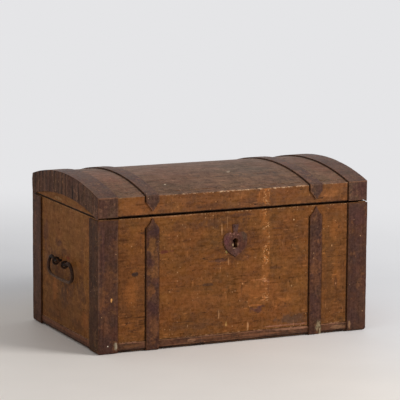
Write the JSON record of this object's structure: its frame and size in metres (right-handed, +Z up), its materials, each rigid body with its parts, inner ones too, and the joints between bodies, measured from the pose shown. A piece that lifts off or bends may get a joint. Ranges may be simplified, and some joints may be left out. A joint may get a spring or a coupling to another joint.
{
  "type": "storage chest",
  "caption": "Iron-bound wooden storage chest with a hinged shallow domed lid, strap hinges, corner irons, a heart-shaped key plate and a drop handle at each end.",
  "frame": {"origin": "on the floor, under the middle of the whole chest's outline", "axes": "+X to the right along the chest's width as seen from the front, +Y from the front to the back, +Z up"},
  "size_m": [0.6352, 0.3697, 0.3396],
  "materials": {
    "grained_wood": "aged orange-brown grained paint",
    "floor_wood": "worn, stained wood",
    "strap_iron": "dark red-brown sheet iron, worn",
    "handle_iron": "dark forged iron",
    "lock_iron": "dull red-brown iron"
  },
  "bodies": {
    "case": {"bottom_board": "floor_wood", "front_board": "grained_wood", "back_board": "grained_wood", "left_end_board": "grained_wood", "right_end_board": "grained_wood", "corner_iron_front_left": "strap_iron", "corner_iron_front_right": "strap_iron", "corner_iron_back_left": "strap_iron", "corner_iron_back_right": "strap_iron", "front_strap_left": "strap_iron", "front_strap_right": "strap_iron", "hinge_strap_left": "strap_iron", "hinge_strap_right": "strap_iron", "hinge_pin_left": "strap_iron", "hinge_pin_right": "strap_iron", "left_handle_eye_front": "handle_iron", "left_handle_eye_back": "handle_iron", "right_handle_eye_front": "handle_iron", "right_handle_eye_back": "handle_iron", "key_plate": "lock_iron", "key_plate_nail_1": "lock_iron", "key_plate_nail_2": "lock_iron", "key_plate_nail_3": "lock_iron", "key_plate_nail_4": "lock_iron", "lock_plate": "lock_iron", "lock_cover": "lock_iron", "lock_spring": "lock_iron", "lock_nail_1": "lock_iron", "lock_nail_2": "lock_iron", "lock_nail_3": "lock_iron", "lock_nail_4": "lock_iron"},
    "lid": {"lid_front_rail": "grained_wood", "lid_back_rail": "grained_wood", "lid_left_end": "grained_wood", "lid_right_end": "grained_wood", "lid_stave_1": "grained_wood", "lid_stave_2": "grained_wood", "lid_stave_3": "grained_wood", "lid_stave_4": "grained_wood", "lid_stave_5": "grained_wood", "lid_edge_iron_left": "strap_iron", "lid_edge_iron_right": "strap_iron", "lid_strap_left": "strap_iron", "lid_strap_right": "strap_iron", "lid_hasp": "lock_iron", "hasp_nail_1": "lock_iron", "hasp_nail_2": "lock_iron"},
    "left_bail": {"left_handle": "handle_iron"},
    "right_bail": {"right_handle": "handle_iron"},
    "bolt": {"lock_bolt": "lock_iron"}
  },
  "joints": [
    {"name": "lid_hinge", "type": "hinge", "parent": "case", "child": "lid", "pos_m": [0, 0.17985, 0.2726], "axis": [-1, 0, 0], "range_deg": [0, 105]},
    {"name": "left_handle_swing", "type": "hinge", "parent": "case", "child": "left_bail", "pos_m": [-0.3087, -0.00385, 0.156], "axis": [0, 1, 0], "range_deg": [-9, 180]},
    {"name": "right_handle_swing", "type": "hinge", "parent": "case", "child": "right_bail", "pos_m": [0.3087, -0.00385, 0.156], "axis": [0, -1, 0], "range_deg": [-9, 180]},
    {"name": "bolt_throw", "type": "slide", "parent": "case", "child": "bolt", "axis": [1, 0, 0], "range_m": [0, 0.01]}
  ]
}
